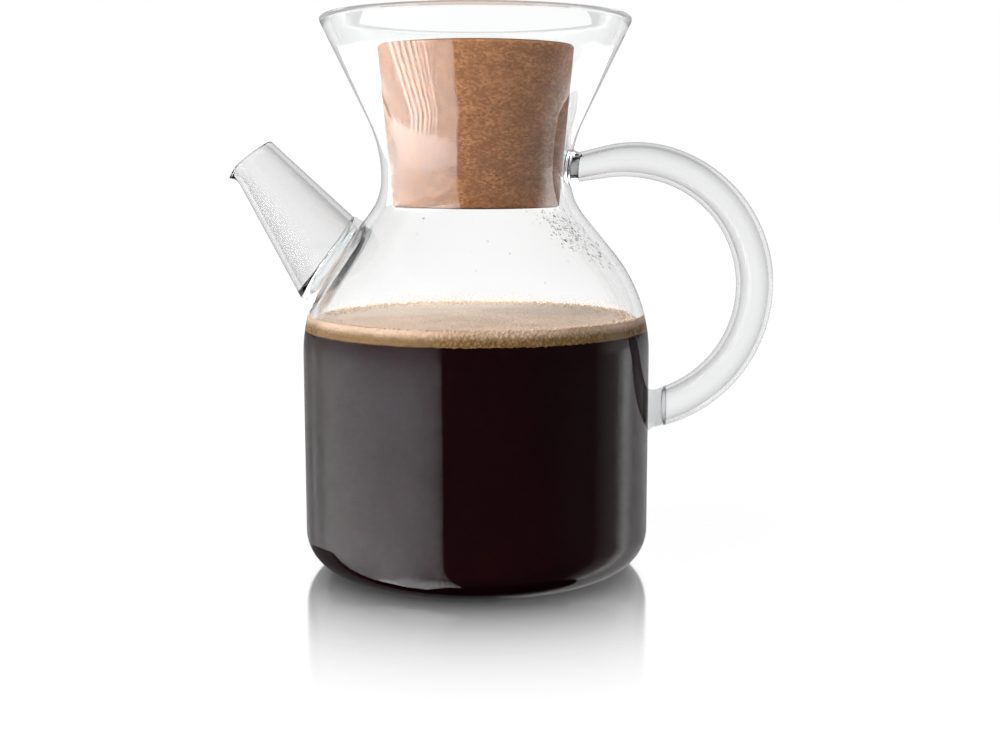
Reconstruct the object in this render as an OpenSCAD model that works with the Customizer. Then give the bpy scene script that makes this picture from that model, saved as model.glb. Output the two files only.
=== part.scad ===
// Pour-over coffee maker: a blown glass vessel whose neck opens into a filter
// funnel, with a welded pouring spout, a bent glass-tube handle and a tapered
// cork stopper. It holds freshly brewed coffee under a layer of foam.
// The origin is the centre of the flat foot, +Z is up, the handle is at +X
// and the spout at -X. All sizes are in millimetres.

/* [Glass vessel] */
// Outside diameter of the straight body
body_d = 120; // [108:1:132]
// Height at which the straight body wall ends and the shoulder begins
wall_h = 75; // [66:1:84]
// Outside radius of the rounded corner at the foot
foot_r = 13.5; // [8:0.5:18]
// Outside diameter of the neck at its narrowest place
neck_d = 65; // [58:0.5:70]
// Height of the narrowest place of the neck
neck_h = 135.5; // [124:0.5:142]
// Steepness of the shoulder between its bends, as a share of the steepest one
slope_share = 0.805; // [0.65:0.005:0.95]
// Part of the bending radii that belongs to the shoulder, the rest is the neck's
shoulder_share = 0.727; // [0.6:0.005:0.8]
// Radius of the bend from the neck into the funnel, outside
funnel_bend_r = 45.5; // [30:0.5:60]
// Angle of the funnel wall to the vertical
funnel_angle = 26; // [20:0.5:30]
// Height of the funnel's rim above the table
total_h = 189.3; // [176:0.1:204]
// Thickness of the blown glass wall
glass_t = 2.8; // [2:0.1:3.6]

/* [Spout] */
// Outside diameter at the pouring mouth
mouth_d = 16.8; // [14:0.2:20]
// Outside diameter at the foot of the spout
spout_foot_d = 33.7; // [29:0.1:36]
// Length along the axis from the mouth to the foot
spout_len = 50; // [44:0.5:56]
// Rise of the spout's axis from the horizontal, in degrees
spout_angle = 52.7; // [48:0.1:58]
// Distance of the mouth's centre from the vessel's axis
mouth_x = 76.9; // [73:0.1:81]
// Height of the mouth's centre above the table
mouth_z = 142.8; // [138:0.1:148]
// Thickness of the spout's wall
spout_t = 1.8; // [1.2:0.1:2.4]
// How far the pouring beak stands out of the mouth
beak_out = 2.7; // [1.5:0.1:4]
// Width of the pouring beak
beak_w = 10; // [8:0.2:12]
// Length of the beak's throat along the spout
beak_len = 5.5; // [4:0.1:8]
// Height of the weld between spout and vessel
spout_weld_h = 3.6; // [2.5:0.1:5]
// How far the spout's weld stands out of the spout
spout_weld_out = 0.8; // [0.4:0.1:1.4]
// How far the vessel's wall reaches into the spout's bore at the hole
hole_inset = 0.8; // [0.4:0.1:3]

/* [Handle] */
// Outside diameter of the bent glass tube
handle_d = 12.8; // [11:0.1:15]
// Wall of the glass tube
handle_t = 1.5; // [1:0.1:2]
// Radius of the handle's centre line
handle_bend_r = 43.9; // [40:0.1:48]
// Reach of the handle from the vessel's axis
handle_reach = 103.4; // [98:0.1:108]
// Height of the middle of the handle's bend
handle_mid_z = 97.6; // [93:0.1:102]
// Angle that the bend runs on past its top before the taper
handle_lean = 11; // [6:0.5:16]
// Outside diameter of the handle's tapered end at the neck
handle_tip_d = 9.6; // [8:0.1:12]
// Height of the weld at the neck
upper_weld_h = 2.6; // [1.8:0.1:4]
// How far the weld at the neck stands out of the tapered end
upper_weld_out = 1.5; // [0.8:0.1:2.5]
// Length of the solid glass end at the body
lower_plug_h = 6.2; // [5:0.1:8]
// Height of the weld round the solid end
lower_weld_h = 2.4; // [1.6:0.1:3.6]
// How far the weld at the body stands out of the handle
lower_weld_out = 1.2; // [0.6:0.1:2]

/* [Cork stopper] */
// Depth of the stopper's top below the funnel's rim
cork_sink = 9.4; // [4:0.1:14]
// How far the stopper hangs below the narrowest place of the neck
cork_drop = 10.8; // [6:0.1:16]
// Angle of the stopper's side to the vertical
cork_taper = 5.1; // [4:0.1:7]
// Broken edge at both ends of the stopper
cork_chamfer = 0.7; // [0.3:0.1:1.5]
// Clearance of the seated stopper in the neck
cork_clear = 0.05; // [0.02:0.01:0.2]

/* [Coffee] */
// Level of the coffee above the table
coffee_z = 83.4; // [60:0.1:84.5]
// Thickness of the foam at the glass
foam_h = 4.9; // [3:0.1:7]
// Dip of the foam in the middle
foam_dip = 1; // [0.4:0.1:2]
// Width of the foam's raised edge
foam_edge = 6; // [3:0.5:10]
// Gap between the coffee and the glass
fill_gap = 0.1; // [0.05:0.05:0.3]

/* [Hidden] */
$fn = 96;

// Angle of one step along an arc of an outline
arc_step = 4;
// How far cutters run past what they cut
overrun = 4;
// Overlap and step where the handle's taper leaves its bend
seam = 0.2;
seam_step = 0.05;

body_r = body_d / 2;
neck_r = neck_d / 2;

// The shoulder is an S of two arcs and the straight between them
shoulder_dr = body_r - neck_r;
shoulder_dz = neck_h - wall_h;
slope = slope_share * 2 * atan(shoulder_dr / shoulder_dz);
bend_sum = (shoulder_dz * sin(slope) - shoulder_dr * cos(slope)) / (1 - cos(slope));
shoulder_r = bend_sum * shoulder_share;
neck_bend_r = bend_sum - shoulder_r;

// Mid-wall point in the middle of the funnel's round rim
rim_r = glass_t / 2;
bend_end = [neck_r + funnel_bend_r * (1 - cos(funnel_angle)),
            neck_h + funnel_bend_r * sin(funnel_angle)];
funnel_out = [cos(funnel_angle), -sin(funnel_angle)];
funnel_up = [sin(funnel_angle), cos(funnel_angle)];
rim_start = bend_end - rim_r * funnel_out;
rim_mid = rim_start + funnel_up * (total_h - rim_r - rim_start[1]) / cos(funnel_angle);

// The spout is a cone, so its radius falls evenly from foot to mouth
spout_draw = (spout_foot_d - mouth_d) / 2 / spout_len;
spout_run = spout_len + body_r / 3;
lip_r = spout_t / 2;

// Handle: middle of its bend, and where its centre line meets the body
handle_r = handle_d / 2;
handle_x = handle_reach - handle_r - handle_bend_r;
foot_turn = acos((body_r - handle_x) / handle_bend_r);
root_turn = acos((body_r - glass_t - handle_x) / handle_bend_r);
bend_top = 90 + handle_lean;
taper_start = handle_x - handle_bend_r * sin(handle_lean);
taper_run = (taper_start - neck_r) / cos(handle_lean);
taper_draw = (handle_r - handle_tip_d / 2) / taper_run;

// The stopper's cone touches the neck's inner bend, less its clearance
cork_seat_r = neck_r + funnel_bend_r
    - (funnel_bend_r + glass_t + cork_clear) / cos(cork_taper);
cork_h = total_h - cork_sink - neck_h + cork_drop;
cork_low_r = cork_seat_r - cork_drop * tan(cork_taper);
cork_top_r = cork_low_r + cork_h * tan(cork_taper);

// Inner radius of the shoulder at a height, less the gap to the coffee
function fill_r(z) =
    body_r - shoulder_r
    + sqrt(pow(shoulder_r - glass_t - fill_gap, 2) - pow(max(0, z - wall_h), 2));

// Outside radius of the handle's taper, at a distance from the bend's end
function taper_r(run) = handle_r - seam_step - taper_draw * (run + seam);

// Points of an arc, stepping along it from angle a to angle b
function arc(centre, r, a, b) =
    let (steps = max(1, ceil(abs(b - a) / arc_step)))
    [for (i = [0:steps])
        let (turn = a + (b - a) * i / steps)
        centre + r * [cos(turn), sin(turn)]];

// Side of the vessel from foot to rim, moved inwards by depth
function side(depth) = concat(
    arc([body_r - foot_r, foot_r], foot_r - depth, -90, 0),
    arc([body_r - shoulder_r, wall_h], shoulder_r - depth, 0, slope),
    arc([neck_r + neck_bend_r, neck_h], neck_bend_r + depth, 180 + slope, 180),
    arc([neck_r + funnel_bend_r, neck_h], funnel_bend_r + depth,
        180, 180 - funnel_angle),
    [rim_mid + (rim_r - depth) * funnel_out]);

// The space inside the vessel's surface, moved inwards by depth, as a solid
module inside(depth) {
    pts = side(depth);
    top = pts[len(pts) - 1];
    rotate_extrude() polygon(concat([[0, depth]], pts, [[0, top[1]]]));
}

// Turns +Z of a child along the spout, with the origin in the mouth's centre
module at_mouth() {
    translate([-mouth_x, 0, mouth_z]) rotate([0, spout_angle - 90, 0]) children();
}

// Solid cone of the spout, grown by out, with a rounded edge at the mouth
module spout_cone(out) {
    mouth_r = mouth_d / 2 + out;
    root_r = mouth_r + spout_draw * spout_run;
    rotate_extrude() polygon(concat([[0, -spout_run], [root_r, -spout_run]],
        arc([mouth_d / 2 - lip_r, -lip_r], lip_r + out, 0, 90), [[0, out]]));
}

// Bore of the spout, shrunk by inset, flaring round the lip at the mouth
module spout_bore(inset) {
    bore_r = mouth_d / 2 - spout_t - inset;
    root_r = bore_r + spout_draw * spout_run;
    rotate_extrude() polygon(concat([[0, -spout_run], [root_r, -spout_run]],
        arc([bore_r + lip_r, -lip_r], lip_r, 180, 90),
        [[bore_r + lip_r, overrun], [0, overrun]]));
}

// Cone of the pouring beak on the mouth's lower side, its radius less wall
module beak_cone(wall) {
    beak_r = beak_w / 2;
    tip_x = mouth_d / 2 + beak_out - beak_r;
    throat_r = beak_r - beak_out / 2;
    throat_x = mouth_d / 2 + spout_draw * beak_len - throat_r;
    lean = atan((tip_x - throat_x) / beak_len);
    translate([-throat_x, 0, -beak_len]) rotate([0, -lean, 0])
        cylinder(h = beak_len / cos(lean), r1 = throat_r - wall, r2 = beak_r - wall);
}

// Turns a child from the XY plane into the handle's plane, at its bend's middle
module at_bend() {
    translate([handle_x, 0, handle_mid_z]) rotate([90, 0, 0]) children();
}

// The handle's bend of radius r, from inside the body's wall up to an angle
module handle_bend(r, top) {
    at_bend() rotate([0, 0, -root_turn]) rotate_extrude(angle = root_turn + top)
        translate([handle_bend_r, 0]) circle(r);
}

// Turns +Z of a child along the taper, from the bend's end towards the neck
module at_taper() {
    at_bend() rotate([0, 0, bend_top]) translate([handle_bend_r, 0, 0])
        rotate([-90, 0, 0]) children();
}

// The handle's tapered end, its radius less wall, run on into the neck
module handle_taper(wall) {
    run = taper_run + overrun;
    at_taper() translate([0, 0, -seam])
        cylinder(h = seam + run, r1 = taper_r(-seam) - wall, r2 = taper_r(run) - wall);
}

// Cone of a weld that stands out of its tube by out at its foot, and ends at h
module weld_flare(tube_r, h, out) {
    fall = out / h;
    translate([0, 0, -overrun])
        cylinder(h = overrun + h + seam, r1 = tube_r + out + fall * overrun,
                 r2 = tube_r - fall * seam);
}

// One blown piece: foot, body, shoulder, neck and funnel, with the spout's hole
module vessel() {
    inner = side(glass_t);
    rim = arc(rim_mid, rim_r, -funnel_angle, 180 - funnel_angle);
    color([0.86, 0.93, 0.95, 0.4]) difference() {
        rotate_extrude() polygon(concat([[0, 0]], side(0), rim,
            [for (i = [len(inner) - 1:-1:0]) inner[i]], [[0, glass_t]]));
        at_mouth() spout_bore(hole_inset);
    }
}

// Conical glass spout with a round lip and a drawn pouring beak
module spout() {
    color([0.84, 0.91, 0.94, 0.4]) difference() {
        at_mouth() difference() {
            union() {
                spout_cone(0);
                beak_cone(0);
            }
            spout_bore(0);
            beak_cone(spout_t);
            translate([0, 0, -lip_r]) cylinder(h = overrun, r = mouth_d / 2 - spout_t);
        }
        inside(-spout_weld_h);
    }
}

// Ring of molten glass that joins the spout to the shoulder
module spout_weld() {
    color([0.72, 0.8, 0.84, 0.6]) difference() {
        intersection() {
            at_mouth() spout_cone(spout_weld_out);
            inside(-spout_weld_h);
        }
        inside(0);
        at_mouth() spout_bore(0);
    }
}

// Bent hollow glass tube, drawn thinner towards the neck
module handle_tube() {
    color([0.84, 0.91, 0.94, 0.4]) difference() {
        union() {
            handle_bend(handle_r, bend_top);
            handle_taper(0);
        }
        handle_bend(handle_r - handle_t, bend_top);
        handle_taper(handle_t);
        inside(-upper_weld_h);
        intersection() {
            inside(-lower_plug_h);
            cylinder(h = handle_mid_z, r = body_d);
        }
    }
}

// Collar of molten glass between the handle's tapered end and the neck
module handle_upper_weld() {
    color([0.72, 0.8, 0.84, 0.6]) difference() {
        intersection() {
            union() {
                handle_taper(0);
                at_taper() translate([0, 0, taper_run]) mirror([0, 0, 1])
                    weld_flare(taper_r(taper_run - upper_weld_h), upper_weld_h,
                               upper_weld_out);
            }
            inside(-upper_weld_h);
        }
        inside(0);
    }
}

// Solid glass end of the handle and the weld that joins it to the body
module handle_lower_weld() {
    color([0.72, 0.8, 0.84, 0.6]) difference() {
        intersection() {
            union() {
                handle_bend(handle_r, 0);
                at_bend() rotate([0, 0, -foot_turn]) translate([handle_bend_r, 0, 0])
                    rotate([-90, 0, 0])
                        weld_flare(handle_r, lower_weld_h, lower_weld_out);
            }
            inside(-lower_plug_h);
        }
        inside(0);
    }
}

// Tapered stopper of pressed cork with broken edges
module cork_stopper() {
    edge_r = cork_chamfer * tan(cork_taper);
    color([0.78, 0.62, 0.45]) translate([0, 0, neck_h - cork_drop])
        rotate_extrude() polygon([
            [0, 0],
            [cork_low_r - cork_chamfer, 0],
            [cork_low_r + edge_r, cork_chamfer],
            [cork_top_r - edge_r, cork_h - cork_chamfer],
            [cork_top_r - cork_chamfer, cork_h],
            [0, cork_h]]);
}

// Everything inside the glass between two heights
module filling(low, high) {
    intersection() {
        inside(glass_t + fill_gap);
        translate([0, 0, low]) cylinder(h = high - low, r = body_r);
    }
}

// Brewed coffee up to its level
module coffee() {
    color([0.13, 0.05, 0.04]) filling(0, coffee_z);
}

// Foam on the coffee, with a raised edge where it clings to the glass
module coffee_foam() {
    top_z = coffee_z + foam_h;
    dish_r = fill_r(top_z) - foam_dip;
    rise = foam_edge / foam_dip;
    color([0.82, 0.72, 0.6]) difference() {
        filling(coffee_z, top_z);
        translate([0, 0, top_z - foam_dip])
            cylinder(h = foam_dip + overrun, r1 = dish_r - foam_edge,
                     r2 = dish_r + rise * overrun);
    }
}

vessel();
spout();
spout_weld();
handle_tube();
handle_upper_weld();
handle_lower_weld();
cork_stopper();
coffee();
coffee_foam();
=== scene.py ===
"""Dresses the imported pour-over coffee maker: blown glass, cork, coffee and foam.

The glass parts, the stopper and the filling are turned on a lathe outline and
then fitted to each other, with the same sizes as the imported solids. Lengths are
in metres, +Z is up, the handle is at +X and the spout at -X.
"""

import math
import random

import bmesh
import bpy
from mathutils import Matrix, Vector, noise


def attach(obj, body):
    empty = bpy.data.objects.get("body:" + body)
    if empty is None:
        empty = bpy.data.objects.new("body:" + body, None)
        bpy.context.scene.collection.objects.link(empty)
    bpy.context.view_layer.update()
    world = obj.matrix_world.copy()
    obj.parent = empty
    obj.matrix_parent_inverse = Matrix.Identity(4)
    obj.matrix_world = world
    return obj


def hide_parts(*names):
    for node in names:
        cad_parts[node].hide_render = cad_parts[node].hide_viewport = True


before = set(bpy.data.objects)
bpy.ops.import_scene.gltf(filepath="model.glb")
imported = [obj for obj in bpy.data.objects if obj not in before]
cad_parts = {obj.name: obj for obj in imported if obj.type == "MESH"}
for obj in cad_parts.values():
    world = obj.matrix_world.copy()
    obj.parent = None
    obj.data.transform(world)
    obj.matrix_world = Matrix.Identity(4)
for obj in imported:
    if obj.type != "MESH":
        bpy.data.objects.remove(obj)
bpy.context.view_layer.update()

bl_info = {
    "name": "Pour-over coffee maker",
    "version": (1, 0, 0),
    "blender": (4, 5, 0),
    "location": "View3D > Sidebar > Coffee maker",
    "description": "Builds the glass, cork, coffee and foam of a coffee maker",
    "category": "Object",
}

MM = 0.001
TURN = 2 * math.pi
RIGHT = math.pi / 2
# Edges that bend by more degrees than this stay sharp
SHARP = 35
# How far a glass tube reaches into its weld, and a weld into the vessel's wall
SEAM = 0.15 * MM
ROOT = 0.8 * MM
GLASS_IOR = 1.47
WATER_IOR = 1.33
WHITE = (1, 1, 1, 1)
# The highest number that Nodes.level gives, because a colour ramp ends at 1
TOP_LEVEL = 20.0
# What the vessel mirrors, as pairs of a height and a share of what bare glass does:
# little at the body, the shoulder and the rim, all at the neck and the funnel.
# The dim bands are painted shade on what it mirrors, not a change in the glass
VESSEL_GLOSS = [(0.0, 0.2), (0.076, 0.2), (0.084, 0.1), (0.098, 0.08),
                (0.108, 0.06), (0.1245, 0.06), (0.126, 1.0), (0.1775, 1.0),
                (0.1785, 0.06), (0.2, 0.06)]


def length(name, about, value):
    """A length property with the given default, in metres."""
    return bpy.props.FloatProperty(
        name=name, description=about, default=value, unit="LENGTH",
        subtype="DISTANCE", precision=5)


def angle(name, about, degrees):
    """An angle property with the given default."""
    return bpy.props.FloatProperty(
        name=name, description=about, default=math.radians(degrees),
        unit="ROTATION", subtype="ANGLE")


def share(name, about, value):
    """A plain number property with the given default."""
    return bpy.props.FloatProperty(
        name=name, description=about, default=value, subtype="FACTOR",
        min=0, soft_max=1)


def tint(name, about, value):
    """A colour property with the given default."""
    return bpy.props.FloatVectorProperty(
        name=name, description=about, default=value, size=3, subtype="COLOR",
        min=0, max=1)


class VesselSizes(bpy.types.PropertyGroup):
    """Sizes of the blown glass vessel."""
    body_r: length("Body radius", "Outside radius of the straight body", 0.06)
    wall_h: length("Wall height", "Where the shoulder begins", 0.075)
    foot_r: length("Foot radius", "Rounded corner at the foot", 0.0135)
    neck_r: length("Neck radius", "Outside radius at the narrowest place", 0.0325)
    neck_h: length("Neck height", "Height of the narrowest place", 0.1355)
    slope_share: share("Slope", "Steepness of the shoulder's straight part", 0.805)
    shoulder_share: share("Shoulder", "Shoulder's part of the bending radii", 0.727)
    funnel_bend_r: length("Funnel bend", "Radius of the bend below the funnel", 0.0455)
    funnel_angle: angle("Funnel angle", "Funnel wall to the vertical", 26)
    total_h: length("Height", "Height of the funnel's rim", 0.1893)
    wall: length("Wall", "Thickness of the blown wall", 0.0028)
    clear: tint("Glass", "Tint of the clear glass", (0.978, 0.982, 0.982))
    weld: tint("Weld glass", "Tint of the welds", (0.88, 0.89, 0.9))


class SpoutSizes(bpy.types.PropertyGroup):
    """Sizes of the welded pouring spout."""
    mouth_r: length("Mouth radius", "Outside radius at the mouth", 0.0084)
    foot_r: length("Foot radius", "Outside radius at the foot", 0.01685)
    run: length("Length", "Length of the spout's axis", 0.05)
    rise: angle("Rise", "Axis above the horizontal", 52.7)
    mouth_x: length("Mouth distance", "Mouth's centre from the axis", 0.0769)
    mouth_z: length("Mouth height", "Mouth's centre above the table", 0.1428)
    wall: length("Wall", "Thickness of the spout's wall", 0.0018)
    beak_out: length("Beak", "How far the beak stands out", 0.0028)
    beak_drop: length("Beak drop", "How far the beak's tip hangs down", 0.0014)
    beak_run: length("Beak length", "Length of the beak's throat", 0.0055)
    beak_w: length("Beak width", "Width of the beak", 0.010)
    weld_h: length("Weld height", "Height of the weld ring", 0.0036)
    weld_out: length("Weld bulge", "How far the weld stands out", 0.0008)
    hole_inset: length("Hole inset", "Ledge inside the weld ring", 0.0008)
    tint: tint("Spout glass", "Tint of the spout", (0.905, 0.906, 0.908))


class HandleSizes(bpy.types.PropertyGroup):
    """Sizes of the bent handle tube and its two welds."""
    bend_r: length("Bend radius", "Radius of the centre line", 0.0439)
    reach: length("Reach", "Reach from the vessel's axis", 0.1034)
    mid_z: length("Middle height", "Height of the bend's middle", 0.0976)
    tube_r: length("Tube radius", "Outside radius in the middle", 0.0064)
    low_r: length("Lower radius", "Outside radius at the body", 0.0066)
    top_r: length("Upper radius", "Outside radius at the top of the bend", 0.0062)
    tip_r: length("Tip radius", "Outside radius at the neck", 0.0048)
    wall: length("Wall", "Thickness of the tube's wall", 0.0015)
    lean: angle("Lean", "How far the bend runs on past its top", 11)
    neck_weld_h: length("Neck weld height", "Height of the weld at the neck", 0.0026)
    neck_weld_out: length("Neck weld", "How far that weld stands out", 0.0015)
    plug_h: length("Solid end", "Length of the solid glass end", 0.0062)
    body_weld_h: length("Body weld height", "Height of the body's weld", 0.0024)
    body_weld_out: length("Body weld", "How far that weld stands out", 0.0012)
    tint: tint("Tube glass", "Tint of the handle's tube", (0.915, 0.917, 0.92))
    collar: tint("Collar glass", "Tint of the weld at the neck", (0.5, 0.51, 0.52))


class StopperSizes(bpy.types.PropertyGroup):
    """Sizes and colours of the cork stopper."""
    sink: length("Sink", "Depth of its top below the rim", 0.0094)
    drop: length("Drop", "How far it hangs below the neck", 0.0108)
    taper: angle("Taper", "Side to the vertical", 5.1)
    chamfer: length("Chamfer", "Broken edge at both ends", 0.0007)
    clear: length("Clearance", "Gap to the neck", 0.00005)
    pale: tint("Pale granules", "Lightest granules", (0.75, 0.345, 0.135))
    middle: tint("Middle granules", "Most of the granules", (0.49, 0.18, 0.058))
    dark: tint("Dark granules", "Bark specks", (0.135, 0.059, 0.025))


class FillingSizes(bpy.types.PropertyGroup):
    """Sizes and colours of the coffee and its foam."""
    level: length("Level", "Level of the coffee", 0.0834)
    foam_h: length("Foam", "Thickness of the foam at the glass", 0.0049)
    foam_dip: length("Foam dip", "Dip of the foam in the middle", 0.001)
    foam_edge: length("Foam edge", "Width of the foam's raised edge", 0.006)
    wetting: length("Wetting", "How far the filling reaches into the wall", 0.00025)
    brew: tint("Coffee", "Colour of the coffee", (0.0085, 0.0008, 0.002))
    brew_red: tint("Coffee, thin", "Colour where it is thin", (0.018, 0.0012, 0.0025))
    cream: tint("Foam", "Colour of the foam", (0.29, 0.166, 0.05))
    cream_pale: tint("Foam, pale", "Colour of its dry top", (0.97, 0.7, 0.52))
    # film also colours the painted glow of the film and of the foam's back
    film: tint("Foam film", "Colour of the dry film above it", (1.0, 0.88, 0.76))
    cream_dark: tint("Foam, wet", "Colour between the bubbles", (0.2, 0.105, 0.035))


# Outlines and distances that several pieces share


def arc(cx, cz, r, start, end, step):
    """Points on an arc from one angle to another, about step apart."""
    count = max(2, math.ceil(abs(end - start) * abs(r) / step))
    turns = [start + (end - start) * i / count for i in range(count + 1)]
    return [(cx + r * math.cos(a), cz + r * math.sin(a)) for a in turns]


def straight(a, b, step):
    """Points from a to b, without a and with b, about step apart."""
    count = max(1, math.ceil(math.dist(a, b) / step))
    return [(a[0] + (b[0] - a[0]) * i / count, a[1] + (b[1] - a[1]) * i / count)
            for i in range(1, count + 1)]


class Profile:
    """The vessel's outline, and the distance of a point from it."""

    def __init__(self, v):
        self.v = v
        dr, dz = v.body_r - v.neck_r, v.neck_h - v.wall_h
        self.slope = v.slope_share * 2 * math.atan(dr / dz)
        bends = ((dz * math.sin(self.slope) - dr * math.cos(self.slope))
                 / (1 - math.cos(self.slope)))
        self.shoulder_r = bends * v.shoulder_share
        self.neck_bend_r = bends - self.shoulder_r
        self.shoulder_x = v.body_r - self.shoulder_r
        self.neck_x = v.neck_r + self.neck_bend_r
        self.funnel_x = v.neck_r + v.funnel_bend_r
        self.rim_r = v.wall / 2
        out = (math.cos(v.funnel_angle), -math.sin(v.funnel_angle))
        start = (self.funnel_x - (v.funnel_bend_r + self.rim_r) * out[0],
                 v.neck_h - (v.funnel_bend_r + self.rim_r) * out[1])
        rise = (v.total_h - self.rim_r - start[1]) / math.cos(v.funnel_angle)
        self.rim = (start[0] + rise * math.sin(v.funnel_angle),
                    start[1] + rise * math.cos(v.funnel_angle))
        self.out = out

    def side(self, depth, step):
        """Outline from the foot to the rim, moved inwards by depth."""
        v = self.v
        pts = arc(v.body_r - v.foot_r, v.foot_r, v.foot_r - depth, -RIGHT, 0, step)
        pts += straight(pts[-1], (v.body_r - depth, v.wall_h), 8 * step)[:-1]
        pts += arc(self.shoulder_x, v.wall_h, self.shoulder_r - depth, 0, self.slope,
                   step)
        pts += arc(self.neck_x, v.neck_h, self.neck_bend_r + depth,
                   math.pi + self.slope, math.pi, step)
        pts += arc(self.funnel_x, v.neck_h, v.funnel_bend_r + depth, math.pi,
                   math.pi - v.funnel_angle, step)[1:]
        end = (self.rim[0] + (self.rim_r - depth) * self.out[0],
               self.rim[1] + (self.rim_r - depth) * self.out[1])
        return pts + straight(pts[-1], end, 3 * step)

    def gap(self, r, z):
        """Distance from the outer surface, positive outside."""
        v = self.v
        if z <= v.wall_h:
            return r - v.body_r
        if z >= v.neck_h:
            return v.funnel_bend_r - math.hypot(r - self.funnel_x, z - v.neck_h)
        if math.atan2(z - v.wall_h, r - self.shoulder_x) <= self.slope:
            return math.hypot(r - self.shoulder_x, z - v.wall_h) - self.shoulder_r
        if math.atan2(v.neck_h - z, self.neck_x - r) <= self.slope:
            return self.neck_bend_r - math.hypot(r - self.neck_x, z - v.neck_h)
        return ((r - self.shoulder_x) * math.cos(self.slope)
                + (z - v.wall_h) * math.sin(self.slope) - self.shoulder_r)

    def settle(self, at, turn, radius, depth, low, high):
        """Length along a tube at which one of its lines is depth off the vessel.

        at gives a point of the tube for a turn, a radius and a length, radius the
        line's radius for a length. The length lies between low and high."""
        def gap(run):
            p = at(turn, radius(run), run)
            return self.gap(math.hypot(p.x, p.y), p.z) - depth
        return solve(gap, low, high)

    def inner_r(self, z, depth):
        """Inner radius of the shoulder at a height, moved inwards by depth."""
        up = max(0.0, z - self.v.wall_h)
        return self.shoulder_x + math.sqrt((self.shoulder_r - depth) ** 2 - up * up)


def lathe(outline, steps, closed=False):
    """Spins an outline of (radius, height) points once round Z."""
    bm = bmesh.new()
    verts = [bm.verts.new((r, 0, z)) for r, z in outline]
    pairs = list(zip(verts, verts[1:]))
    if closed:
        pairs.append((verts[-1], verts[0]))
    edges = [bm.edges.new(pair) for pair in pairs]
    bmesh.ops.spin(bm, geom=verts + edges, cent=(0, 0, 0), axis=(0, 0, 1),
                   angle=TURN, steps=steps, use_merge=True, use_duplicate=False)
    bmesh.ops.remove_doubles(bm, verts=bm.verts[:], dist=1e-8)
    bmesh.ops.recalc_face_normals(bm, faces=bm.faces[:])
    return bm


def scatter(places):
    """One small ball of radius 1 at each of the given matrices."""
    bm = bmesh.new()
    number = bm.verts.layers.int.new("number")
    bmesh.ops.create_uvsphere(bm, u_segments=8, v_segments=6, radius=1)
    count = 1
    while count < len(places):
        made = bmesh.ops.duplicate(bm, geom=bm.verts[:] + bm.edges[:] + bm.faces[:])
        for part in made["geom"]:
            if isinstance(part, bmesh.types.BMVert):
                part[number] += count
        count *= 2
    spare = [vert for vert in bm.verts if vert[number] >= len(places)]
    bmesh.ops.delete(bm, geom=spare, context="VERTS")
    for vert in bm.verts:
        vert.co = places[vert[number]] @ vert.co
    bm.verts.layers.int.remove(number)
    return bm


def ball(turn, reach, z, r):
    """The matrix of a ball of radius r, at a turn round Z and a reach from it."""
    spot = (reach * math.cos(turn), reach * math.sin(turn), z)
    return Matrix.Translation(spot) @ Matrix.Scale(r, 4)


def solve(gap, low, high):
    """The place between low and high where gap changes its sign."""
    low_is_out = gap(low) > 0
    for _ in range(40):
        middle = (low + high) / 2
        if (gap(middle) > 0) == low_is_out:
            low = middle
        else:
            high = middle
    return (low + high) / 2


def smooth(x):
    """0 below 0, 1 above 1, and a smooth rise between."""
    x = min(1.0, max(0.0, x))
    return x * x * (3 - 2 * x)


def new_object(name, data):
    """Adds an object to the scene, of a bmesh, a lamp or a camera."""
    if isinstance(data, bmesh.types.BMesh):
        mesh = bpy.data.meshes.new(name)
        data.to_mesh(mesh)
        data.free()
        data = mesh
    made = bpy.data.objects.new(name, data)
    bpy.context.scene.collection.objects.link(made)
    return made


def finish_piece(bm, name, body, nodes, material, sharp=SHARP):
    """Makes a smooth piece of bm, and hooks it onto the frame.

    Edges sharper than sharp, in degrees, stay sharp."""
    piece = new_object(name, bm)
    for face in piece.data.polygons:
        face.use_smooth = True
    piece.data.set_sharp_from_angle(angle=math.radians(sharp))
    piece.data.materials.append(material)
    if nodes:
        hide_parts(*nodes)
    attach(piece, body)
    return piece


# Materials


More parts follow.
